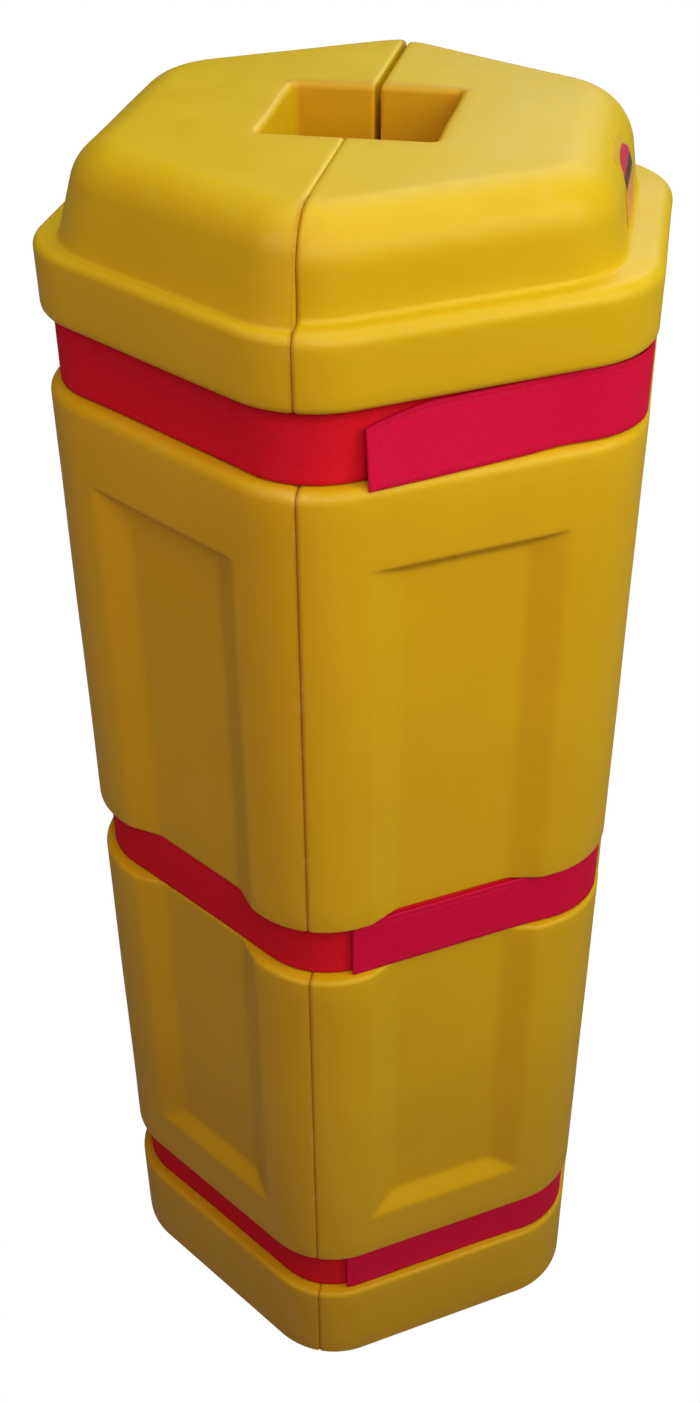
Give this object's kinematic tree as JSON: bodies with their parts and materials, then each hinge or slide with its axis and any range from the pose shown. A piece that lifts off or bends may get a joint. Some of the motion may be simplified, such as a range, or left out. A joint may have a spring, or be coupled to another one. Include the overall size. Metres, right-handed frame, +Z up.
{
  "type": "column protector",
  "caption": "Hexagonal moulded plastic guard in two hollow halves that close round a square column and are held by red hook-and-loop straps in grooves.",
  "frame": {"origin": "centre of the base, on the floor", "axes": "+Z up the column; the halves part at the plane x = 0, with the lapped front seam towards -Y and the hinging back seam towards +Y"},
  "size_m": [0.4146, 0.453, 1.07],
  "materials": {
    "shell_plastic": "rotationally moulded polyethylene, golden yellow, fine orange-peel surface",
    "plug_rubber": "black push-in vent plug",
    "strap_webbing": "scarlet loop-faced webbing",
    "tab_webbing": "crimson smooth-backed webbing",
    "hook_tape": "hook tape",
    "label_film": "blank red label"
  },
  "bodies": {
    "left_half": {"left_half_shell": "shell_plastic", "left_vent_plug": "plug_rubber", "top_strap_left_run": "strap_webbing", "top_strap_tail": "strap_webbing", "middle_strap_left_run": "strap_webbing", "middle_strap_tail": "strap_webbing", "bottom_strap_left_run": "strap_webbing", "bottom_strap_tail": "strap_webbing"},
    "right_half": {"right_half_shell": "shell_plastic", "right_vent_plug": "plug_rubber", "cap_label": "label_film", "top_strap_right_run": "tab_webbing", "middle_strap_right_run": "tab_webbing", "bottom_strap_right_run": "tab_webbing"},
    "top_tab": {"top_strap_tab": "tab_webbing", "top_strap_hook_patch": "hook_tape"},
    "middle_tab": {"middle_strap_tab": "tab_webbing", "middle_strap_hook_patch": "hook_tape"},
    "bottom_tab": {"bottom_strap_tab": "tab_webbing", "bottom_strap_hook_patch": "hook_tape"}
  },
  "joints": [
    {"name": "halves_open", "type": "hinge", "parent": "left_half", "child": "right_half", "pos_m": [0, 0.2265, 0], "axis": [0, 0, 1], "range_deg": [0, 120], "deforming": ["top_strap_tail", "middle_strap_tail", "bottom_strap_tail"]},
    {"name": "top_tab_peel", "type": "hinge", "parent": "right_half", "child": "top_tab", "pos_m": [0.16564, -0.12587, 0], "axis": [0, 0, 1], "range_deg": [0, 150]},
    {"name": "middle_tab_peel", "type": "hinge", "parent": "right_half", "child": "middle_tab", "pos_m": [0.16564, -0.12587, 0], "axis": [0, 0, 1], "range_deg": [0, 150]},
    {"name": "bottom_tab_peel", "type": "hinge", "parent": "right_half", "child": "bottom_tab", "pos_m": [0.16564, -0.12587, 0], "axis": [0, 0, 1], "range_deg": [0, 150]}
  ]
}
